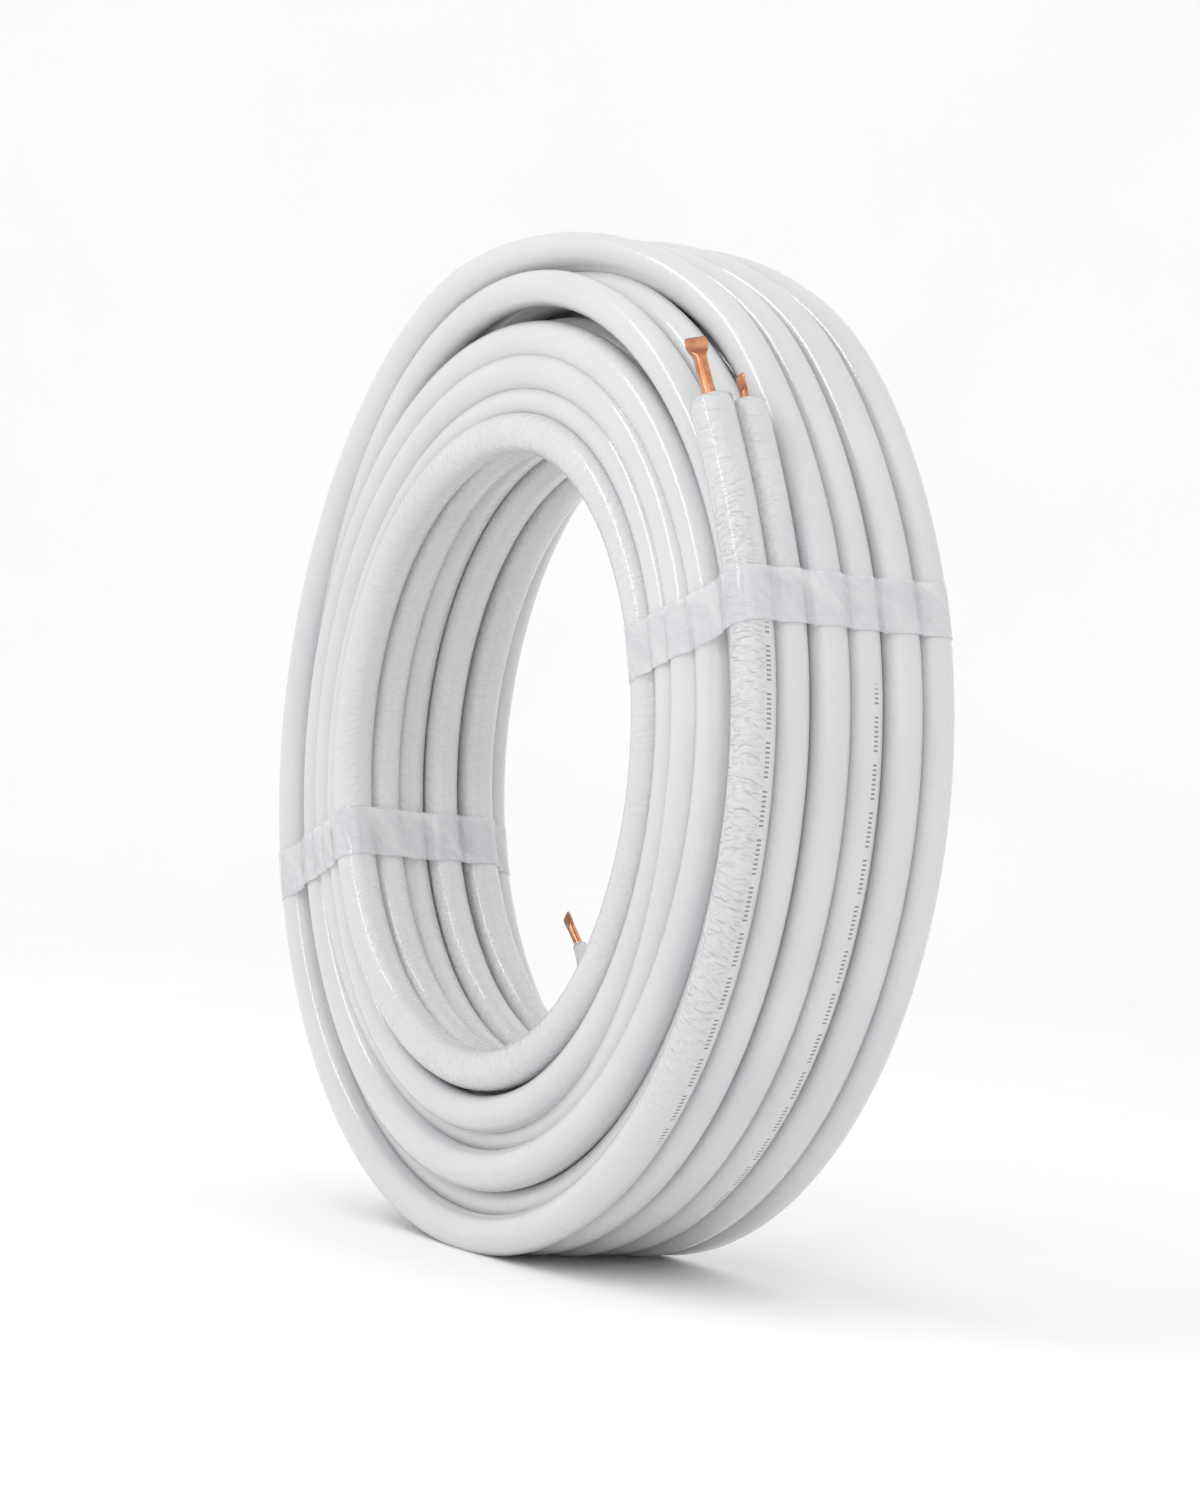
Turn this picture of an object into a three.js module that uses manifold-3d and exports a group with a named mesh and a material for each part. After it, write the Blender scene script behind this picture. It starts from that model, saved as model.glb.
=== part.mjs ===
// A coil of twin insulated copper refrigerant pipe (a mini split line set), standing on its rim.
// Two copper tubes, each in its own white foam sleeve, lie side by side and are wound together
// round one axis in six layers; the outer layer's two sleeves are pieces of their own, which
// cross two places forward at the top of each turn. Two bands of clear tape hold the turns.
// Both ends of the pair show: one on the rim, one lifted off the bore. The tube ends are
// pinched flat.
// Millimetres. The coil's axis is Y, its front face looks along -Y, and it stands on Z = 0.

import * as THREE from 'three';
import { mergeVertices } from 'three/addons/utils/BufferGeometryUtils.js';
import Module from 'manifold-3d';

const wasm = await Module();
wasm.setup();

// The two tubes and their sleeves
const suctionTubeOd = 9.52;
const liquidTubeOd = 6.35;
const tubeWall = 0.8;
const insulation = 9.2;
const suctionSleeveOd = suctionTubeOd + 2 * insulation;
const liquidSleeveOd = liquidTubeOd + 2 * insulation;

// The winding: its layers from the bore outwards. Suction and liquid strands take turns in each.
// Rise is the layer's distance from the one below, front the middle of its first strand. The
// second layer rides on the first, and each later one lies in the hollows of the one below.
const boreRadius = 214.4;
const strandPitch = 28.3;
const ridingRise = 27.5;
const nestedRise = 22.7;
const boreFront = 14;
const proudFront = 18;
const hollowFront = 32;
const rimFront = 22;
// Strands that lie off their even spacing: how far back, and how far out from the bore
const boreBack = [0, -1, -6, -7, -4];
const boreSunk = [0, 1, 9, 2, 5];
const secondBack = [0, 0, 0, 0, 12];
const thirdBack = [-6];
const layers = [
  { rise: 0, front: boreFront, strands: 5, first: 'suction', back: boreBack, sunk: boreSunk },
  { rise: ridingRise, front: proudFront, strands: 5, first: 'liquid', back: secondBack },
  { rise: nestedRise, front: hollowFront, strands: 5, first: 'suction', back: thirdBack },
  { rise: nestedRise, front: proudFront, strands: 6, first: 'suction' },
  { rise: nestedRise, front: hollowFront, strands: 5, first: 'liquid' },
  { rise: nestedRise, front: rimFront, strands: 6, first: 'suction' },
];
const seatGap = 0.3;
const turnFacets = 36;
const creaseAngle = 25;
const sleeveSides = 12;

// The outer layer's pair, in degrees from +X to +Z: it comes up out of the layer below at the
// top, goes nearly three times round from back to front, and runs out straight above the tape.
const outerPair = { start: 75, risen: 130, straight: 1104, end: 1122 };
const emergence = 20;
const crossings = [
  { start: 415, end: 475 },
  { start: 775, end: 835 },
];
const crossingLift = 15;
const endLean = 7;

// The inner end: both sleeves curve off the bore at the bottom and up into the opening. The
// liquid sleeve is drawn in to a neck at its end.
const tail = { start: -30, liftOff: -35, inmost: -129, liquidEnd: -116, suctionEnd: -78 };
const tailLift = 79.7;
const tailDrift = 11;
const neck = { start: 0.82, ratio: 0.42 };

// Copper beyond the sleeves: length that shows, length held in the sleeve, pinched end
const outerSuctionStub = 46;
const outerLiquidStub = 21;
const innerLiquidStub = 34;
const innerSuctionStub = 24;
const socketDepth = 24;
const pinchLength = 15;

// Clear tape bands
const tapeWidth = 38;
const tapeThickness = 0.5;
const tapeGap = 0.5;
const tapeAngles = { tape_band_right: 19, tape_band_left: 199 };

const degrees = Math.PI / 180;
const facetStep = 360 / turnFacets;
const sideAngle = (2 * Math.PI) / sleeveSides;
const sleeveOd = { suction: suctionSleeveOd, liquid: liquidSleeveOd };

// The section through one side of the coil. A strand is a sleeve's place in it: radius from the
// coil's axis, distance y from the front plane, and the sleeve's own radius rho.

let layerRadius = boreRadius + suctionSleeveOd / 2;
const section = layers.map(({ rise, front, strands, first, back = [], sunk = [] }) => {
  layerRadius += rise;
  const second = first === 'suction' ? 'liquid' : 'suction';
  return Array.from({ length: strands }, (_, i) => ({
    radius: layerRadius + (sunk[i] ?? 0),
    y: front + i * strandPitch + (back[i] ?? 0),
    rho: sleeveOd[i % 2 === 0 ? first : second] / 2,
  }));
});
const [boreLayer, secondLayer, thirdLayer, fourthLayer, fifthLayer, outerLayer] = section;
const outerRadius = layerRadius + suctionSleeveOd / 2;
const coilWidth = Math.max(...section.flat().map((strand) => strand.y + strand.rho));

// The coil's axis stands at this height, so that the lowest facets lie on Z = 0
const axisHeight = outerRadius * Math.cos((facetStep / 2) * degrees);

function bearing(from, to) {
  return Math.atan2(to.y - from.y, to.radius - from.radius);
}

// The point in a given direction on a strand's polygon, whose flats touch its circle
function onStrand(strand, angle) {
  const reach = strand.rho / Math.cos(angle - sideAngle * Math.round(angle / sideAngle));
  return new THREE.Vector2(
    strand.radius + reach * Math.cos(angle),
    strand.y - coilWidth / 2 + reach * Math.sin(angle));
}

// The closed outline round a chain of strands that is taken counter-clockwise. The crease
// between two strands stops short of the point where they touch.
function outlineOf(chain) {
  const points = chain.flatMap((strand, i) => {
    const from = bearing(strand, chain.at(i - 1)) + creaseAngle * degrees;
    let to = bearing(strand, chain[(i + 1) % chain.length]) - creaseAngle * degrees;
    while (to < from) to += 2 * Math.PI;
    const bump = [onStrand(strand, from)];
    for (let k = Math.ceil(from / sideAngle + 0.5); (k - 0.5) * sideAngle < to; k++)
      bump.push(onStrand(strand, (k - 0.5) * sideAngle));
    return [...bump, onStrand(strand, to)];
  });
  return [...points, points[0].clone()];
}

// The strands on the outside of the section, without the outer layer
const windingChain = [
  ...[boreLayer, secondLayer, thirdLayer, fourthLayer].map((layer) => layer[0]),
  ...fifthLayer,
  ...[fourthLayer, thirdLayer, secondLayer].map((layer) => layer.at(-1)),
  ...boreLayer.slice(1).reverse(),
];

function turned(chain) {
  const phase = (facetStep / 2) * degrees;
  return new THREE.LatheGeometry(outlineOf(chain), turnFacets, phase).translate(0, 0, axisHeight);
}

// Solids for cutting

function solidOf(geometry) {
  const bare = geometry.index ? geometry.toNonIndexed() : geometry.clone();
  bare.deleteAttribute('normal');
  bare.deleteAttribute('uv');
  const merged = mergeVertices(bare, 1e-3);
  return new wasm.Manifold(new wasm.Mesh({
    numProp: 3,
    vertProperties: merged.attributes.position.array,
    triVerts: new Uint32Array(merged.index.array),
  }));
}

function geometryOf(solid) {
  const mesh = solid.getMesh();
  const geometry = new THREE.BufferGeometry();
  geometry.setAttribute('position', new THREE.BufferAttribute(mesh.vertProperties, mesh.numProp));
  geometry.setIndex(new THREE.BufferAttribute(mesh.triVerts, 1));
  const flat = geometry.toNonIndexed();
  flat.computeVertexNormals();
  return flat;
}

function largestBody(solid) {
  return solid.decompose().reduce((most, body) => (body.volume() > most.volume() ? body : most));
}

// Paths. A path is given by a function of its angle, and has one section at each station.

class CoilPath extends THREE.Curve {
  constructor(stations, place) {
    super();
    this.stations = stations;
    this.place = place;
  }

  getPointAt(u) {
    const at = Math.min(Math.max(u, 0), 1) * (this.stations.length - 1);
    const i = Math.min(Math.floor(at), this.stations.length - 2);
    const angle = THREE.MathUtils.lerp(this.stations[i], this.stations[i + 1], at - i);
    return this.place(angle);
  }

  getTangentAt(u) {
    const reach = 0.2 / (this.stations.length - 1);
    const ahead = this.getPointAt(u + reach);
    return ahead.sub(this.getPointAt(u - reach)).normalize();
  }

  // Sections keep one flat turned away from the coil's axis
  computeFrenetFrames(segments) {
    const frames = { tangents: [], normals: [], binormals: [] };
    for (let i = 0; i <= segments; i++) {
      const tangent = this.getTangentAt(i / segments);
      const binormal = new THREE.Vector3(0, 1, 0).cross(tangent).normalize();
      frames.tangents.push(tangent);
      frames.binormals.push(binormal);
      frames.normals.push(binormal.clone().cross(tangent));
    }
    return frames;
  }
}

function stationsFrom(start, end, step) {
  const steps = Math.ceil((end - start) / step);
  return Array.from({ length: steps + 1 }, (_, i) => (i === steps ? end : start + i * step));
}

function polar(radius, y, angle) {
  return new THREE.Vector3(
    radius * Math.cos(angle * degrees),
    y - coilWidth / 2,
    axisHeight + radius * Math.sin(angle * degrees));
}

function tubeAlong(path, diameter) {
  const reach = diameter / 2 / Math.cos(Math.PI / sleeveSides);
  const round = new THREE.Shape(Array.from({ length: sleeveSides }, (_, k) =>
    new THREE.Vector2(reach, 0).rotateAround(new THREE.Vector2(), (k + 0.5) * sideAngle)));
  return new THREE.ExtrudeGeometry(round, {
    steps: path.stations.length - 1, extrudePath: path, bevelEnabled: false });
}

// The outer layer's two sleeves, the suction line in front of the liquid line
function outerPlace(side) {
  const { radius } = outerLayer[side];
  const backPlace = outerLayer.length - 2 + side;
  return (angle) => {
    let place = backPlace;
    let lift = emergence * (THREE.MathUtils.smoothstep(angle, 60, outerPair.risen) - 1);
    for (const crossing of crossings) {
      place -= 2 * THREE.MathUtils.smoothstep(angle, crossing.start, crossing.end);
      lift += crossingLift * (
        THREE.MathUtils.smoothstep(angle, crossing.start - 25, crossing.end - 23)
        - THREE.MathUtils.smoothstep(angle, crossing.end - 15, crossing.end + 50));
    }
    const runout = Math.max(0, angle - outerPair.straight);
    const lean = endLean * (runout / (outerPair.end - outerPair.straight)) ** 2;
    const y = rimFront + place * strandPitch - lean;
    return polar(radius / Math.cos(runout * degrees) + lift, y, angle);
  };
}

// The inner end's two sleeves, which curve off the bore into the opening
function innerTailPlace(strand) {
  return (angle) => {
    const lifted = 1 - THREE.MathUtils.smoothstep(angle, tail.inmost, tail.liftOff);
    return polar(strand.radius - tailLift * lifted, strand.y + tailDrift * lifted, angle);
  };
}

// Draws the end of a swept sleeve in to a neck
function neckedIn(geometry, path) {
  const last = path.stations.length - 1;
  const middles = path.stations.map((_, i) => path.getPointAt(i / last));
  const place = geometry.attributes.position;
  const point = new THREE.Vector3();
  for (let i = 0; i < place.count; i++) {
    point.fromBufferAttribute(place, i);
    const distances = middles.map((middle) => middle.distanceTo(point));
    const station = distances.indexOf(Math.min(...distances));
    const drawn = THREE.MathUtils.smoothstep(station / last, neck.start, 1);
    const ratio = THREE.MathUtils.lerp(1, neck.ratio, drawn);
    point.sub(middles[station]).multiplyScalar(ratio).add(middles[station]);
    place.setXYZ(i, point.x, point.y, point.z);
  }
  return geometry;
}

// Copper tube with a pinched end, along Z from the bottom of its socket

function pinchedTube(diameter, showing) {
  const length = socketDepth + showing;
  const tube = new THREE.CylinderGeometry(diameter / 2, diameter / 2, length, 16, 16);
  tube.rotateX(Math.PI / 2).translate(0, 0, length / 2);
  const flatThickness = 2 * tubeWall;
  const flatWidth = (Math.PI * (diameter - tubeWall) + flatThickness) / 2;
  const place = tube.attributes.position;
  for (let i = 0; i < place.count; i++) {
    const pinched = THREE.MathUtils.smoothstep(
      place.getZ(i), length - pinchLength, length - pinchLength / 3);
    place.setX(i, place.getX(i) * THREE.MathUtils.lerp(1, flatWidth / diameter, pinched));
    place.setY(i, place.getY(i) * THREE.MathUtils.lerp(1, flatThickness / diameter, pinched));
  }
  return tube;
}

// The tube end set in the end of a sleeve, its flat turned by roll about its own length
function atSleeveEnd(geometry, path, roll) {
  const tip = path.getPointAt(1);
  const along = tip.clone().sub(path.getPointAt(1 - 0.5 / (path.stations.length - 1))).normalize();
  const across = new THREE.Vector3(0, 1, 0).cross(along).normalize();
  const side = along.clone().cross(across);
  const start = tip.addScaledVector(along, -socketDepth);
  const frame = new THREE.Matrix4().makeBasis(across, side, along).setPosition(start);
  return geometry.clone().rotateZ(roll * degrees).applyMatrix4(frame);
}

// Tape: a closed loop round the whole section, bent about the coil's axis

function hullOf(points) {
  const sorted = [...points].sort((a, b) => a.x - b.x || a.y - b.y);
  const turn = (o, a, b) => (a.x - o.x) * (b.y - o.y) - (a.y - o.y) * (b.x - o.x);
  const half = (list) => {
    const kept = [];
    for (const p of list) {
      while (kept.length > 1 && turn(kept.at(-2), kept.at(-1), p) <= 1e-6) kept.pop();
      kept.push(p);
    }
    return kept.slice(0, -1);
  };
  return [...half(sorted), ...half(sorted.reverse())];
}

function sectionHull(clearance) {
  return hullOf(section.flat().flatMap((strand) => {
    const grown = { ...strand, rho: strand.rho + clearance };
    // On a strand's inner side the middles of its facets reach nearer the axis by this much
    const facetSag = strand.radius * (1 - Math.cos((facetStep / 2) * degrees));
    return Array.from({ length: sleeveSides }, (_, k) => {
      const point = onStrand(grown, (k + 0.5) * sideAngle);
      if (point.x < strand.radius) point.x -= facetSag;
      return point;
    });
  }));
}

function tapeBand(angle) {
  const loop = new THREE.Shape(sectionHull(tapeGap + tapeThickness));
  loop.holes.push(new THREE.Path(sectionHull(tapeGap)));
  const band = new THREE.ExtrudeGeometry(loop, { depth: tapeWidth, steps: 4, bevelEnabled: false });
  const place = band.attributes.position;
  for (let i = 0; i < place.count; i++) {
    const radius = place.getX(i);
    const bend = angle + (place.getZ(i) - tapeWidth / 2) / radius / degrees;
    place.setXYZ(i,
      radius * Math.cos(bend * degrees),
      place.getY(i),
      axisHeight + radius * Math.sin(bend * degrees));
  }
  return band;
}

// Materials

const foamWhite = new THREE.MeshStandardMaterial({ color: 0xe4e5e7, roughness: 0.4, metalness: 0 });
const copper = new THREE.MeshStandardMaterial({ color: 0xc9804f, roughness: 0.3, metalness: 1 });
const clearTape = new THREE.MeshStandardMaterial({
  color: 0xdde2e6, roughness: 0.15, metalness: 0, transparent: true, opacity: 0.4 });

// The object

const coil = new THREE.Group();

function add(name, geometry, material) {
  const mesh = new THREE.Mesh(geometry, material);
  mesh.name = name;
  coil.add(mesh);
}

add('winding', turned(windingChain), foamWhite);

const withGap = windingChain.map((strand) => ({ ...strand, rho: strand.rho + seatGap }));
const windingWithGap = solidOf(turned(withGap));

// One free end of one line: its sleeve, where it comes out of the winding, and its copper
function addEnd(line, where, path, stub, roll, shape = (geometry) => geometry) {
  const tubeOd = line === 'suction' ? suctionTubeOd : liquidTubeOd;
  const socket = atSleeveEnd(pinchedTube(tubeOd + 2 * seatGap, stub), path, roll);
  const sleeve = solidOf(shape(tubeAlong(path, sleeveOd[line]), path))
    .subtract(windingWithGap)
    .subtract(solidOf(socket));
  add(`${line}_sleeve_${where}`, geometryOf(largestBody(sleeve)), foamWhite);
  add(`${line}_tube_${where}`, atSleeveEnd(pinchedTube(tubeOd, stub), path, roll), copper);
}

const outerStations = stationsFrom(outerPair.start, outerPair.end, facetStep);
addEnd('suction', 'outer_end', new CoilPath(outerStations, outerPlace(0)), outerSuctionStub, 70);
addEnd('liquid', 'outer_end', new CoilPath(outerStations, outerPlace(1)), outerLiquidStub, 0);

function innerPath(end, strand) {
  return new CoilPath(stationsFrom(tail.start, end, -5), innerTailPlace(strand));
}

const [suctionTail, liquidTail] = boreLayer.slice(-2);
addEnd('liquid', 'inner_end', innerPath(tail.liquidEnd, liquidTail), innerLiquidStub, 45, neckedIn);
addEnd('suction', 'inner_end', innerPath(tail.suctionEnd, suctionTail), innerSuctionStub, 0);

for (const [name, angle] of Object.entries(tapeAngles))
  add(name, tapeBand(angle), clearTape);

export default coil;
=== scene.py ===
"""Looks of a standing coil of twin insulated copper pipe, built round its CAD frame.

Metres. The coil's axis is Y, its front face looks along -Y, and it stands on Z = 0. Angles run
from +X towards +Z, as seen from the front. A strand's place is given in millimetres: its radius
from the coil's axis and its distance y behind the front plane.
"""

import math

import bpy
import numpy as np
from mathutils import Matrix, Vector


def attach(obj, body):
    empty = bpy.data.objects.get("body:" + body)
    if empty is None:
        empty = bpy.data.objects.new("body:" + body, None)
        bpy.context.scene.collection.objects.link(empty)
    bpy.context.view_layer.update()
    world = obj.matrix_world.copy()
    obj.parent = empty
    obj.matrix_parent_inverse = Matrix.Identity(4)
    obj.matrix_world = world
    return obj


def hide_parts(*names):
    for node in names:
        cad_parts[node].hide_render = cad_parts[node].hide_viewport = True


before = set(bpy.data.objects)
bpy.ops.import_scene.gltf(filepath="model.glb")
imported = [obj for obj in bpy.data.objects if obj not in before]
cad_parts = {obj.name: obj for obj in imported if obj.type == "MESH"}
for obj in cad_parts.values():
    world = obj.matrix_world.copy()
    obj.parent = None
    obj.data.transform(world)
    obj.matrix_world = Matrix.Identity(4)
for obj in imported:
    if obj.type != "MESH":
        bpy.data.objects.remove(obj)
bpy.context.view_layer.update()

# Sizes of the part, in millimetres
INSULATION = 9.2
TUBE_WALL = 0.8
TUBE_ODS = {"suction": 9.52, "liquid": 6.35}
SLEEVE_ODS = {line: od + 2 * INSULATION for line, od in TUBE_ODS.items()}
BORE_RADIUS = 214.4
PITCH = 28.3
RIDING_RISE, NESTED_RISE = 27.5, 22.7
PROUD_FRONT, HOLLOW_FRONT, OUTER_FRONT = 18.0, 32.0, 22.0
BORE_LAYER_RADIUS = BORE_RADIUS + SLEEVE_ODS["suction"] / 2
OUTER_LAYER_RADIUS = BORE_LAYER_RADIUS + RIDING_RISE + 4 * NESTED_RISE
OUTER_STRANDS = 6
COIL_WIDTH = OUTER_FRONT + (OUTER_STRANDS - 1) * PITCH + SLEEVE_ODS["liquid"] / 2
# The solids' turns have flat facets this many degrees long, and the lowest lies on the floor
FACET_STEP = 10.0
OUTER_RADIUS = OUTER_LAYER_RADIUS + SLEEVE_ODS["suction"] / 2
AXIS_HEIGHT = OUTER_RADIUS * math.cos(math.radians(FACET_STEP / 2))
TAPE_WIDTH = 38.0

rng = np.random.default_rng(41)


# Small geometry helpers


def smoothstep(value, low, high):
    t = np.clip((np.asarray(value, float) - low) / (high - low), 0.0, 1.0)
    return t * t * (3.0 - 2.0 * t)


def quadrants(angle, top, right, bottom, left):
    """A value that is as given at the four quarters of a turn and blends between them."""
    c, s = np.cos(np.radians(angle)), np.sin(np.radians(angle))
    return (
        top * np.maximum(s, 0) ** 2
        + right * np.maximum(c, 0) ** 2
        + bottom * np.maximum(-s, 0) ** 2
        + left * np.maximum(-c, 0) ** 2
    )


class Wave:
    """A smooth, closed, irregular wave round a turn."""

    def __init__(self, size, harmonics=5):
        self.terms = [
            (k, rng.normal(0, size / k), rng.uniform(0, 360)) for k in range(1, harmonics + 1)
        ]

    def __call__(self, angle):
        return sum(a * np.sin(np.radians(k * np.asarray(angle) + phase)) for k, a, phase in self.terms)


def in_space(radius, y, angle):
    """Points in metres from a radius, a distance behind the front plane and an angle."""
    turn = np.radians(angle)
    return 0.001 * np.stack(
        [radius * np.cos(turn), y - COIL_WIDTH / 2, AXIS_HEIGHT + radius * np.sin(turn)], -1
    )


def new_object(name, verts, faces, material):
    mesh = bpy.data.meshes.new(name)
    mesh.from_pydata([tuple(v) for v in verts], [], [tuple(f) for f in faces])
    mesh.materials.append(material)
    mesh.update()
    mesh.shade_smooth()
    obj = bpy.data.objects.new(name, mesh)
    bpy.context.collection.objects.link(obj)
    return obj


def set_values(obj, name, values):
    layer = obj.data.attributes.new(name, "FLOAT", "POINT")
    layer.data.foreach_set("value", np.asarray(values, np.float32))


# Where each strand lies


class Ring:
    """One strand of the winding, closed into a ring, that strays a little from its place."""

    def __init__(self, radius, y, size, sway_r=(0, 0, 0, 0), sway_y=(0, 0, 0, 0)):
        self.radius, self.y, self.size = radius, y, size
        self.sway_r, self.sway_y = sway_r, sway_y
        self.wave_r, self.wave_y = Wave(0.7), Wave(0.6)

    def at(self, angle):
        r = self.radius + quadrants(angle, *self.sway_r) + self.wave_r(angle)
        y = self.y + quadrants(angle, *self.sway_y) + self.wave_y(angle)
        return r, y


# The layers from the bore outwards: distance from the one below, middle of the first strand,
# strands, first strand's line, and strands off their even spacing (slot: radius, y)
LAYERS = [
    (0.0, 14.0, 5, "suction", {1: (1, -1), 2: (9, -6), 3: (2, -7), 4: (5, -4)}),
    (RIDING_RISE, PROUD_FRONT, 5, "liquid", {4: (0, 12)}),
    (NESTED_RISE, HOLLOW_FRONT, 5, "suction", {0: (0, -6)}),
    (NESTED_RISE, PROUD_FRONT, 6, "suction", {}),
    (NESTED_RISE, HOLLOW_FRONT, 5, "liquid", {}),
]
# How the strands that show stray from those places at top, right, bottom and left, by layer and
# slot: radius, then y
SWAYS = {
    (0, 0): ((0, 0, 1, 4), (0, 0, 0, -1)),
    (1, 0): ((-5, 0, 5, 2), (4, -2, -2, 0)),
    (2, 0): ((-6, 0, -1, 0), (-6, -8, 7, -7)),
    (3, 0): ((-7, 0, 0, 0), (3, 5, 0, 2)),
    (4, 0): ((8, 0, 1, 3), (-12, 2, 3, 0)),
    (4, 1): ((12, 0, 0, 0), (-8, 0, 0, 0)),
}
BORE_SWAY = ((0, 0, 0, 5), (0, 0, 0, -2))
# The film stands this far off the foam
FILM_SLACK = 0.8


def winding_rings():
    rings, radius = [], BORE_LAYER_RADIUS
    for layer, (rise, front, count, first, uneven) in enumerate(LAYERS):
        radius += rise
        for slot in range(count):
            line = first if slot % 2 == 0 else {"suction": "liquid", "liquid": "suction"}[first]
            off_r, off_y = uneven.get(slot, (0, 0))
            sways = SWAYS.get((layer, slot), BORE_SWAY if layer == 0 else ())
            y = front + slot * PITCH + off_y
            rings.append(Ring(radius + off_r, y, SLEEVE_ODS[line] / 2 + FILM_SLACK, *sways))
    return rings


class OuterSleeve:
    """One sleeve of the outer layer. Its angle grows from the back pair, which comes up out of
    the layer below at the top, through three turns to the free end. Each turn crosses two
    places forward near the top."""

    HIDDEN, START, RISEN, STRAIGHT, END = 60.0, 75.0, 130.0, 1104.0, 1122.0
    EMERGENCE, CROSSING_LIFT, END_LEAN = 20.0, 15.0, 7.0
    CROSSINGS = ((415, 475), (775, 835))
    # Degrees from a crossing's start and end where its lift begins and is full, and from its end
    # where the lift begins to fall and is gone
    RISE, FALL = (-25, -23), (-15, 50)

    def __init__(self, line):
        self.side = 0 if line == "suction" else 1
        self.size = SLEEVE_ODS[line] / 2 + FILM_SLACK
        self.wave_r, self.wave_y = Wave(0.5), Wave(0.6)

    def at(self, angle):
        place = 4.0 + self.side
        lift = self.EMERGENCE * (smoothstep(angle, self.HIDDEN, self.RISEN) - 1)
        for start, end in self.CROSSINGS:
            place = place - 2 * smoothstep(angle, start, end)
            rising = smoothstep(angle, start + self.RISE[0], end + self.RISE[1])
            falling = smoothstep(angle, end + self.FALL[0], end + self.FALL[1])
            lift = lift + self.CROSSING_LIFT * (rising - falling)
        runout = np.maximum(0, angle - self.STRAIGHT)
        lean = self.END_LEAN * (runout / (self.END - self.STRAIGHT)) ** 2
        r = OUTER_LAYER_RADIUS / np.cos(np.radians(runout)) + lift + self.wave_r(angle)
        return r, OUTER_FRONT + place * PITCH - lean + self.wave_y(angle)

    def passes(self, angle):
        """The sleeve's places where it passes a given angle of the turn."""
        turns = [angle + 360 * k for k in range(4)]
        return [self.at(a) for a in turns if self.START < a < self.STRAIGHT]


class Tail:
    """One sleeve of the inner end, which curves off the bore at the bottom into the opening."""

    START, LIFT_OFF, INMOST, LIFT, DRIFT = -36.0, -35.0, -129.0, 79.7, 11.0

    def __init__(self, line, ring, end):
        self.ring, self.size, self.end = ring, SLEEVE_ODS[line] / 2, end

    def points(self):
        angle = -np.arange(-self.START, -self.end + 0.75, 1.5)
        lifted = 1 - smoothstep(angle, self.INMOST, self.LIFT_OFF)
        return in_space(self.ring.radius - self.LIFT * lifted, self.ring.y + self.DRIFT * lifted, angle)


RINGS = winding_rings()
OUTER = {line: OuterSleeve(line) for line in SLEEVE_ODS}
TAILS = {"suction": Tail("suction", RINGS[3], -78.0), "liquid": Tail("liquid", RINGS[4], -116.0)}


# Swept sleeves


class Sweep:
    """Swept sleeves gathered into one mesh. Each point also keeps its distance along the sleeve,
    its place round it, and how wrinkled and how printed the film is there."""

    def __init__(self, name, sides=18):
        self.name, self.sides = name, sides
        self.turn = np.arange(sides) * 2 * np.pi / sides
        self.verts, self.faces, self.count = [], [], 0
        self.values = {key: [] for key in ("along", "around_x", "around_y", "wrinkle", "printed")}

    def add(self, points, radii, wrinkle, printed=0.0, closed=False):
        count, sides, turn = len(points), self.sides, self.turn
        wrinkle = np.array(np.broadcast_to(wrinkle, (count, sides)))
        if closed:
            # The distance along starts again here, so the wrinkles fade out
            wrinkle[[0, -1]] = 0
            tangents = np.roll(points, -1, 0) - np.roll(points, 1, 0)
        else:
            tangents = np.gradient(points, axis=0)
        tangents /= np.linalg.norm(tangents, axis=1)[:, None]
        outward = (points - [0.0, 0.0, 0.001 * AXIS_HEIGHT]) * [1, 0, 1]
        outward -= (outward * tangents).sum(1)[:, None] * tangents
        outward /= np.linalg.norm(outward, axis=1)[:, None]
        across = np.cross(tangents, outward)
        radii = 0.001 * np.broadcast_to(radii, (count,))[:, None, None]
        ring = (
            points[:, None]
            + radii * np.cos(turn)[None, :, None] * outward[:, None]
            + radii * np.sin(turn)[None, :, None] * across[:, None]
        )
        self.verts.append(ring.reshape(-1, 3))
        distance = np.concatenate([[0.0], np.cumsum(np.linalg.norm(np.diff(points, axis=0), axis=1))])
        for key, value in (
            ("along", distance[:, None]),
            ("around_x", np.cos(turn)),
            ("around_y", np.sin(turn)),
            ("wrinkle", wrinkle),
            ("printed", printed),
        ):
            self.values[key].append(np.broadcast_to(value, (count, sides)).ravel())
        for i in range(count if closed else count - 1):
            a, b = self.count + i * sides, self.count + ((i + 1) % count) * sides
            for k in range(sides):
                m = (k + 1) % sides
                self.faces.append((a + k, a + m, b + m, b + k))
        if not closed:
            last = self.count + (count - 1) * sides
            self.faces.append(tuple(self.count + k for k in reversed(range(sides))))
            self.faces.append(tuple(last + k for k in range(sides)))
        self.count += count * sides

    def build(self, material):
        obj = new_object(self.name, np.concatenate(self.verts), self.faces, material)
        for key, values in self.values.items():
            set_values(obj, key, np.concatenate(values))
        return obj


# Shader helpers


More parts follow.
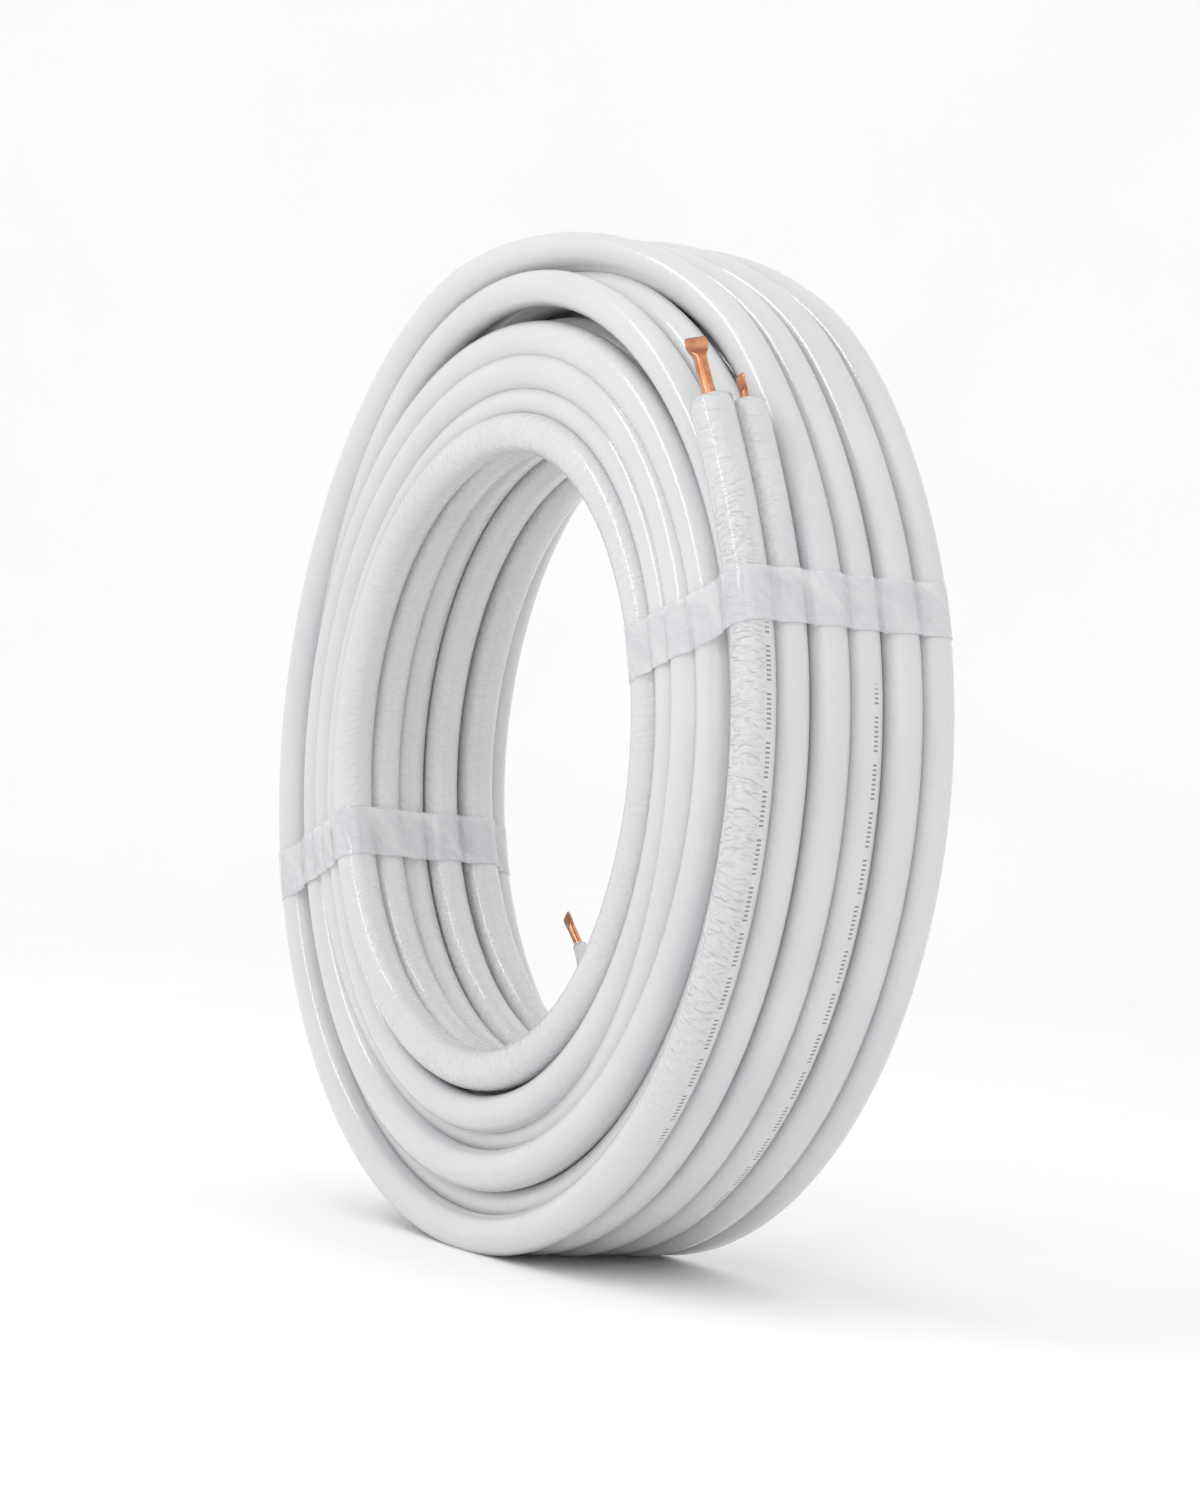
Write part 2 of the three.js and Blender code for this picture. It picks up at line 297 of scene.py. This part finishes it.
class Shader:
    """Short names for building a material's node tree."""

    def __init__(self, name):
        self.material = bpy.data.materials.new(name)
        self.material.use_nodes = True
        self.tree = self.material.node_tree
        self.bsdf = self.tree.nodes["Principled BSDF"]
        self.place = self.node("ShaderNodeTexCoord").outputs["Object"]

    def node(self, kind, inputs=None, **settings):
        node = self.tree.nodes.new(kind)
        for key, value in settings.items():
            setattr(node, key, value)
        for key, value in (inputs or {}).items():
            self.put(node.inputs[key], value)
        return node

    def put(self, socket, value):
        if isinstance(value, bpy.types.NodeSocket):
            self.tree.links.new(value, socket)
        else:
            socket.default_value = value

    def set(self, **inputs):
        for key, value in inputs.items():
            self.put(self.bsdf.inputs[key.replace("_", " ")], value)

    def attribute(self, name):
        return self.node("ShaderNodeAttribute", attribute_name=name).outputs["Fac"]

    def math(self, operation, a, b=0.0, c=0.0):
        node = self.node("ShaderNodeMath", operation=operation)
        for socket, value in zip(node.inputs, (a, b, c)):
            self.put(socket, value)
        return node.outputs[0]

    def product(self, *values):
        result = values[0]
        for value in values[1:]:
            result = self.math("MULTIPLY", result, value)
        return result

    def vector(self, x, y, z=0.0):
        return self.node("ShaderNodeCombineXYZ", {"X": x, "Y": y, "Z": z}).outputs[0]

    def noise(self, vector, scale, detail=3.0):
        inputs = {"Vector": vector, "Scale": scale, "Detail": detail}
        return self.node("ShaderNodeTexNoise", inputs).outputs["Fac"]

    def ramp(self, fac, stops):
        node = self.node("ShaderNodeValToRGB", {"Fac": fac})
        elements = node.color_ramp.elements
        while len(elements) < len(stops):
            elements.new(0.5)
        for element, (place, colour) in zip(elements, stops):
            element.position = place
            element.color = (*colour, 1.0)
        return node.outputs["Color"]

    def mix(self, fac, a, b):
        node = self.node("ShaderNodeMix", data_type="RGBA")
        for key, value in (("Factor", fac), ("A", a), ("B", b)):
            self.put(node.inputs[key], value)
        return node.outputs["Result"]

    def bump(self, height, strength, distance, normal=None):
        inputs = {"Height": height, "Strength": strength, "Distance": distance}
        if normal is not None:
            inputs["Normal"] = normal
        return self.node("ShaderNodeBump", inputs).outputs["Normal"]


def film_material():
    """White polyethylene film over foam: glossy, finely crinkled, in places with tick marks."""
    s = Shader("sleeve_film")
    along, wrinkle = s.attribute("along"), s.attribute("wrinkle")
    ax, ay = s.attribute("around_x"), s.attribute("around_y")

    # Wrinkles cross the sleeve a little aslant: close together along it, drawn out round it
    slant = s.math("MULTIPLY_ADD", ay, 0.002, along)
    run = s.math("MULTIPLY_ADD", s.noise(s.place, 30.0), 0.008, slant)
    folds = s.noise(s.vector(s.product(run, 150.0), s.product(ax, 0.9), s.product(ay, 0.9)), 1.0, 2.0)
    crests = s.math("POWER", s.math("ABSOLUTE", s.math("SUBTRACT", folds, 0.5)), 0.75)
    dimples = s.noise(s.place, 26.0, 2.0)
    cells = s.noise(s.place, 210.0, 2.0)
    folded = s.bump(crests, wrinkle, 0.005)
    dimpled = s.bump(dimples, 0.3, 0.003, folded)
    normal = s.bump(cells, s.math("MULTIPLY_ADD", wrinkle, 0.45, 0.05), 0.0008, dimpled)

    tone = s.noise(s.place, 9.0, 2.0)
    white = s.ramp(tone, [(0.3, (0.59, 0.595, 0.61)), (0.7, (0.635, 0.636, 0.642))])

    # Plain tick marks in a row along the outside of two sleeves
    near_row = s.math("LESS_THAN", s.math("ABSOLUTE", s.math("SUBTRACT", ay, 0.2)), 0.13)
    row = s.product(near_row, s.math("GREATER_THAN", ax, 0.0), s.attribute("printed"))
    ticks = s.math("LESS_THAN", s.math("FRACT", s.product(along, 330.0)), 0.42)
    groups = s.math("LESS_THAN", s.math("FRACT", s.product(along, 33.0)), 0.78)
    marks = s.product(ticks, groups, row, 0.72)
    s.set(Base_Color=s.mix(marks, white, (0.08, 0.08, 0.09, 1.0)), Normal=normal)
    s.set(Roughness=s.math("MULTIPLY_ADD", tone, 0.1, 0.2), IOR=1.5)
    s.set(Coat_Weight=0.5, Coat_Roughness=0.07)
    return s.material


def foam_material():
    """Cut foam with its small cells."""
    s = Shader("cut_foam")
    voronoi = s.node("ShaderNodeTexVoronoi", {"Vector": s.place, "Scale": 900.0})
    cells = voronoi.outputs["Distance"]
    colour = s.ramp(cells, [(0.1, (0.5, 0.5, 0.51)), (0.6, (0.72, 0.72, 0.73))])
    s.set(Base_Color=colour, Roughness=0.75, Normal=s.bump(cells, 0.5, 0.0005))
    return s.material


def copper_material():
    """Drawn copper with fine lengthwise lines, and painted shade that darkens it where the tube is
    pinched.
    """
    s = Shader("copper")
    lengthwise = s.vector(
        s.product(s.attribute("along"), 12.0),
        s.product(s.attribute("around_x"), 9.0),
        s.product(s.attribute("around_y"), 9.0),
    )
    lines = s.noise(lengthwise, 1.0, 4.0)
    stain = s.noise(s.place, 120.0, 3.0)
    bright = s.ramp(stain, [(0.35, (0.5, 0.2, 0.1)), (0.65, (0.68, 0.34, 0.2))])
    # Painted shade: the copper is darkened towards a dark brown where the tube bends into its flat
    # pinch.
    colour = s.mix(s.product(s.attribute("pinch_shade"), 0.6), bright, (0.2, 0.06, 0.025, 1.0))
    s.set(Base_Color=colour, Metallic=1.0, Normal=s.bump(lines, 0.25, 0.0004))
    s.set(Roughness=s.math("MULTIPLY_ADD", stain, 0.15, 0.12), Anisotropic=0.3)
    return s.material


def tape_material():
    """Clear packing tape: milky where it bridges, with sharp folds."""
    s = Shader("clear_tape")
    across, along = s.attribute("across"), s.attribute("along")
    slanted = s.math("MULTIPLY_ADD", across, 0.9, along)
    grid = s.vector(s.product(slanted, 26.0), s.product(across, 14.0))
    edges = s.node("ShaderNodeTexVoronoi", {"Vector": grid, "Scale": 1.0}, feature="DISTANCE_TO_EDGE")
    fold = s.ramp(edges.outputs["Distance"], [(0.0, (1, 1, 1)), (0.03, (0, 0, 0))])
    patchy = s.noise(grid, 1.1, 3.0)
    fold = s.product(fold, s.math("GREATER_THAN", patchy, 0.52))
    soft = s.noise(s.vector(s.product(along, 190.0), s.product(across, 45.0)), 1.0, 2.0)
    folds = s.bump(fold, 0.5, 0.001)
    normal = s.bump(soft, 0.3, 0.0014, folds)
    alpha = s.math("MULTIPLY_ADD", patchy, 0.7, 0.02)
    colour = s.ramp(patchy, [(0.35, (0.78, 0.795, 0.82)), (0.7, (0.86, 0.87, 0.885))])
    s.set(Base_Color=colour, Roughness=0.1, Alpha=alpha, Normal=normal)
    s.set(IOR=1.48, Coat_Weight=1.0, Coat_Roughness=0.04, Specular_IOR_Level=0.8)
    return s.material


FILM, FOAM, COPPER, TAPE = film_material(), foam_material(), copper_material(), tape_material()


def place_piece(obj, node):
    """Puts a finished piece in the place of its CAD node."""
    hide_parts(node)
    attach(obj, "root")


# The winding

winding = Sweep("winding_film")
TURN = np.arange(0, 360, 2.5)
for number, ring in enumerate(RINGS):
    in_bore = number < LAYERS[0][2]
    r, y = ring.at(TURN)
    winding.add(in_space(r, y, TURN), ring.size + Wave(0.12)(TURN), 0.4 if in_bore else 0.1, closed=True)
place_piece(winding.build(FILM), "winding")


# The outer layer's two sleeves. The suction line's last turn is the most wrinkled. Ranges are in
# degrees along the sleeves.

CRUMPLED_FROM, CRUMPLED_TO, LIQUID_CRUMPLED_FROM = (1030, 1060), (1104, 1116), (1090, 1105)
TICKED = {"suction": (1035, 1096), "liquid": (660, 730)}

for line, sleeve in OUTER.items():
    angle = np.append(np.arange(OuterSleeve.START, OuterSleeve.END, 2.0), OuterSleeve.END)
    r, y = sleeve.at(angle)
    film = Sweep(line + "_outer_film", sides=24)
    front_side = 1 - smoothstep(np.sin(film.turn), -0.15, 0.35)
    if line == "suction":
        crumpled = smoothstep(angle, *CRUMPLED_FROM) * (1 - 0.5 * smoothstep(angle, *CRUMPLED_TO))
        wrinkle = 0.1 + 0.9 * crumpled[:, None] * front_side
    else:
        wrinkle = 0.1 + 0.4 * smoothstep(angle, *LIQUID_CRUMPLED_FROM)[:, None]
    first_tick, last_tick = TICKED[line]
    printed = smoothstep(angle, first_tick, first_tick + 2)
    printed *= 1 - smoothstep(angle, last_tick, last_tick + 1)
    film.add(in_space(r, y, angle), sleeve.size + Wave(0.1)(angle), wrinkle, printed[:, None])
    place_piece(film.build(FILM), line + "_sleeve_outer_end")


# The inner end's two sleeves. The liquid line's is drawn in to a neck.

NECK_START, NECK_RATIO = 0.82, 0.42

for line, tail in TAILS.items():
    points = tail.points()
    share = np.linspace(0, 1, len(points))
    radii = tail.size * (0.97 + 0.03 * smoothstep(share, 0, 0.3))
    if line == "liquid":
        radii *= 1 + (NECK_RATIO - 1) * smoothstep(share, NECK_START, 1)
    film = Sweep(line + "_inner_film", sides=24)
    film.add(points, radii, 0.5)
    place_piece(film.build(FILM), line + "_sleeve_inner_end")


# Copper ends, each with the cut foam round it

HELD, PINCH_LENGTH = 0.02, 0.015


def copper_end(name, od, tip, along, wide, showing):
    """A tube end pinched flat, in metres. It starts inside the sleeve and points along."""
    sides, rows = 28, 40
    thin = along.cross(wide)
    radius = 0.0005 * od
    flat_half = (0.001 * math.pi * (od - TUBE_WALL) + 0.002 * TUBE_WALL) / 4
    flat_thin = 0.001 * TUBE_WALL
    verts = []
    values = {key: [] for key in ("along", "around_x", "around_y", "pinch_shade")}
    for z in np.linspace(-HELD, showing, rows + 1).tolist():
        t = float(smoothstep(z, showing - PINCH_LENGTH, showing - PINCH_LENGTH * 0.45))
        rim = 1.0 - 0.12 * float(smoothstep(z, showing - 0.002, showing))
        half_w = (radius * (1 - t) + flat_half * t) * rim
        half_t = (radius * (1 - t) + flat_thin * t) * rim
        for k in range(sides):
            a = 2 * math.pi * k / sides
            boxed = 1 + 0.25 * t * abs(math.sin(2 * a))
            offset = half_w * math.cos(a) * boxed * wide + half_t * math.sin(a) * thin
            verts.append(tip + z * along + offset)
            # The last value is where the copper gets painted shade: none on the round tube and the flat
            # end, most halfway through the pinch.
            for key, value in zip(values, (z, math.cos(a), math.sin(a), t * (1 - t) * 4)):
                values[key].append(value)
    faces = []
    for i in range(rows):
        for k in range(sides):
            a, b = i * sides + k, i * sides + (k + 1) % sides
            faces.append((a, b, b + sides, a + sides))
    faces.append(tuple(reversed(range(sides))))
    faces.append(tuple(rows * sides + k for k in range(sides)))
    obj = new_object(name, verts, faces, COPPER)
    for key, value in values.items():
        set_values(obj, key, value)
    return obj


def foam_face(name, tip, along, outer, inner):
    """The cut end of a sleeve: a ring of foam round the tube, just in front of the film."""
    sides = 36
    side = along.cross(Vector((0, 1, 0))).normalized()
    up = along.cross(side)
    verts, faces = [], []
    profile = ((outer, -0.0006), (outer * 0.985, 0.0004), (inner * 1.5, 0.0005), (inner, -0.002))
    for reach, lift in profile:
        for k in range(sides):
            a = 2 * math.pi * k / sides
            uneven = 0.0003 * math.sin(3 * a + 1) + 0.0002 * math.sin(7 * a)
            offset = (reach + uneven) * (math.cos(a) * side + math.sin(a) * up)
            verts.append(tip + offset + lift * along)
    for row in range(len(profile) - 1):
        for k in range(sides):
            a, b = row * sides + k, row * sides + (k + 1) % sides
            faces.append((a, b, b + sides, a + sides))
    return new_object(name, verts, faces, FOAM)


def finish_end(line, where, points, showing, roll, face_size=1.0):
    tip = Vector(points[-1])
    along = (tip - Vector(points[-3])).normalized()
    level = Vector((0, 1, 0)).cross(along).normalized()
    wide = Matrix.Rotation(math.radians(roll), 3, along) @ level
    node = f"{line}_tube_{where}"
    obj = copper_end(node + "_copper", TUBE_ODS[line], tip, along, wide, showing)
    place_piece(obj, node)
    outer, inner = 0.0005 * SLEEVE_ODS[line] * face_size, 0.0005 * TUBE_ODS[line]
    face = foam_face(node + "_foam", tip, along, outer, inner)
    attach(face, "root")


end_turn = np.linspace(OuterSleeve.END - 4, OuterSleeve.END, 5)
for line, showing, roll in (("suction", 0.046, 70), ("liquid", 0.021, 0)):
    r, y = OUTER[line].at(end_turn)
    finish_end(line, "outer_end", in_space(r, y, end_turn), showing, roll)
finish_end("liquid", "inner_end", TAILS["liquid"].points(), 0.034, 0, NECK_RATIO)
finish_end("suction", "inner_end", TAILS["suction"].points(), 0.024, 0)


# Tape


def hull_of(points):
    ordered = sorted(map(tuple, points))

    def half(sequence):
        kept = []
        for p in sequence:
            while len(kept) > 1:
                (ox, oy), (ax, ay) = kept[-2], kept[-1]
                if (ax - ox) * (p[1] - oy) - (ay - oy) * (p[0] - ox) > 1e-9:
                    break
                kept.pop()
            kept.append(p)
        return kept[:-1]

    return np.array(half(ordered) + half(ordered[::-1]))


SECTION_MIDDLE = np.array([288.0, 88.0])
TAPE_CLEARANCE, TAPE_THICKNESS = 0.9, 0.12
# How far the tape follows the gaps between strands, as a share of their depth and at most
SINK_SHARE, SINK_LIMIT = 0.7, 4.5


def tape_loop(angle, bearings):
    """The tape's path round the strands where they pass an angle: drawn tight over them and
    slightly sunk between them. One point is given for each bearing from the section's middle."""
    circles = [(*ring.at(angle), ring.size) for ring in RINGS]
    for sleeve in OUTER.values():
        circles += [(r, y, sleeve.size) for r, y in sleeve.passes(angle)]
    turn = np.arange(36) * 2 * np.pi / 36
    rim = np.concatenate([
        np.stack([r + reach * np.cos(turn), y + reach * np.sin(turn)], -1)
        for r, y, reach in ((r, y, rho + TAPE_CLEARANCE) for r, y, rho in circles)
    ])
    hull = hull_of(rim)
    shares = np.arange(40)[:, None, None] / 40
    dense = (hull * (1 - shares) + np.roll(hull, -1, 0) * shares).reshape(-1, 2) - SECTION_MIDDLE
    bearing = np.arctan2(dense[:, 1], dense[:, 0])
    order = np.argsort(bearing)
    reach = np.interp(bearings, bearing[order], np.hypot(*dense[order].T), period=2 * np.pi)
    outwards = np.stack([np.cos(bearings), np.sin(bearings)], -1)
    loop = SECTION_MIDDLE + reach[:, None] * outwards
    gap = np.min([np.hypot(loop[:, 0] - r, loop[:, 1] - y) - rho for r, y, rho in circles], axis=0)
    sink = np.clip((gap - TAPE_CLEARANCE - 0.2) * SINK_SHARE, 0, SINK_LIMIT)
    return loop - outwards * sink[:, None], outwards


def tape_band(node, centre):
    steps, rows = 480, 17
    bearings = np.arange(steps) * 2 * np.pi / steps - np.pi
    edge = Wave(0.6, 9)(np.degrees(bearings))
    verts, across, along = [], [], []
    for skin in (0.0, TAPE_THICKNESS):
        for u in np.linspace(-0.5, 0.5, rows):
            turned = math.degrees(TAPE_WIDTH * u / SECTION_MIDDLE[0])
            loop, outwards = tape_loop(centre + turned, bearings)
            ripple = 0.25 * np.sin(bearings * 60 + 9 * u) * (2 * abs(u)) ** 2
            loop = loop - outwards * (skin + ripple)[:, None]
            angle = centre + np.degrees((TAPE_WIDTH * u + edge) / loop[:, 0])
            verts.append(in_space(loop[:, 0], loop[:, 1], angle))
            lengths = np.linalg.norm(np.diff(loop, axis=0), axis=1)
            along.append(0.001 * np.concatenate([[0.0], np.cumsum(lengths)]))
            across.append(np.full(steps, 0.001 * TAPE_WIDTH * u))
    faces = []
    total = rows * steps
    top = total - steps
    for i in range(steps):
        m = (i + 1) % steps
        for a, b in ((j * steps + i, j * steps + m) for j in range(rows - 1)):
            faces.append((a, b, b + steps, a + steps))
            faces.append((total + a, total + a + steps, total + b + steps, total + b))
        faces.append((m, i, total + i, total + m))
        faces.append((top + i, top + m, total + top + m, total + top + i))
    obj = new_object(node + "_film", np.concatenate(verts), faces, TAPE)
    set_values(obj, "across", np.concatenate(across))
    set_values(obj, "along", np.concatenate(along))
    place_piece(obj, node)


tape_band("tape_band_right", 19.0)
tape_band("tape_band_left", 199.0)


# Floor, light and camera


def direction_from(azimuth, elevation):
    a, e = math.radians(azimuth), math.radians(elevation)
    return Vector((math.sin(a) * math.cos(e), -math.cos(a) * math.cos(e), math.sin(e)))


# The camera looks a little right of and below the coil's middle, and is rolled. In degrees.
CAMERA_AZIMUTH, CAMERA_ELEVATION = 62.892, 0.557
CAMERA_PAN, CAMERA_TILT, CAMERA_ROLL = -1.688, -0.107, 4.306
CAMERA_DISTANCE = 3.0

# The floor, in metres: its near edge, where its bend starts, the bend, the wall's top, half width
NEAR, BEND_START, BEND, WALL_TOP, HALF_WIDTH = -6.0, 3.5, 1.5, 6.0, 7.0

floor_shader = Shader("pale_floor")
grain = floor_shader.noise(floor_shader.place, 2.0)
pale = floor_shader.ramp(grain, [(0.4, (0.95, 0.95, 0.95)), (0.6, (0.965, 0.965, 0.965))])
floor_shader.set(Base_Color=pale, Roughness=0.9)

profile = [(NEAR, 0.0), (BEND_START, 0.0)]
profile += [
    (BEND_START + BEND * math.sin(a), BEND - BEND * math.cos(a))
    for a in np.linspace(0.1, math.pi / 2, 12)
]
profile += [(BEND_START + BEND, WALL_TOP)]
away = -direction_from(CAMERA_AZIMUTH, 0)
sideways = Vector((-away.y, away.x, 0))
floor_verts = [
    s * sideways + d * away + Vector((0, 0, z))
    for d, z in profile
    for s in (HALF_WIDTH, -HALF_WIDTH)
]
floor_faces = [(2 * i, 2 * i + 1, 2 * i + 3, 2 * i + 2) for i in range(len(profile) - 1)]
new_object("floor", floor_verts, floor_faces, floor_shader.material)

world = bpy.data.worlds.new("studio")
world.use_nodes = True
background = world.node_tree.nodes["Background"]
background.inputs["Color"].default_value = (1.0, 1.0, 1.0, 1.0)
background.inputs["Strength"].default_value = 1.0
bpy.context.scene.world = world

MIDDLE = Vector((0, 0, 0.36))


def facing(back, up):
    """The rotation of a light or camera that looks away from back, with up upwards."""
    right = up.cross(back).normalized()
    return Matrix((right, back.cross(right), back)).transposed()


def area_light(name, towards, long_axis, distance, width, length, power):
    """A soft box seen from the coil in one direction, its long side along another."""
    light = bpy.data.lights.new(name, "AREA")
    light.shape = "RECTANGLE"
    light.size, light.size_y, light.energy = width, length, power
    obj = bpy.data.objects.new(name, light)
    back = Vector(towards).normalized()
    aim = facing(back, Vector(long_axis)).to_4x4()
    obj.matrix_world = Matrix.Translation(MIDDLE + distance * back) @ aim
    bpy.context.collection.objects.link(obj)


area_light(
    "strip_light",
    towards=(-0.05, -0.72, 0.7),
    long_axis=(0.7, -0.53, -0.45),
    distance=2.4,
    width=0.13,
    length=2.4,
    power=13,
)
area_light(
    "fill_light",
    towards=(0.8, -0.5, 0.45),
    long_axis=(0, 0, 1),
    distance=2.8,
    width=1.6,
    length=1.6,
    power=6,
)

camera_data = bpy.data.cameras.new("camera")
camera_data.sensor_width = 36.0
camera_data.lens = 100.43
camera = bpy.data.objects.new("camera", camera_data)
bpy.context.collection.objects.link(camera)

place = Vector((0, -0.001 * COIL_WIDTH / 2, 0.001 * AXIS_HEIGHT))
place += CAMERA_DISTANCE * direction_from(CAMERA_AZIMUTH, CAMERA_ELEVATION)
back = direction_from(CAMERA_AZIMUTH + CAMERA_PAN, CAMERA_ELEVATION + CAMERA_TILT)
aim = facing(back, Vector((0, 0, 1)))
roll = Matrix.Rotation(math.radians(CAMERA_ROLL), 3, "Z")
camera.matrix_world = Matrix.Translation(place) @ (aim @ roll).to_4x4()
bpy.context.scene.camera = camera
bpy.context.scene.view_settings.view_transform = "Standard"
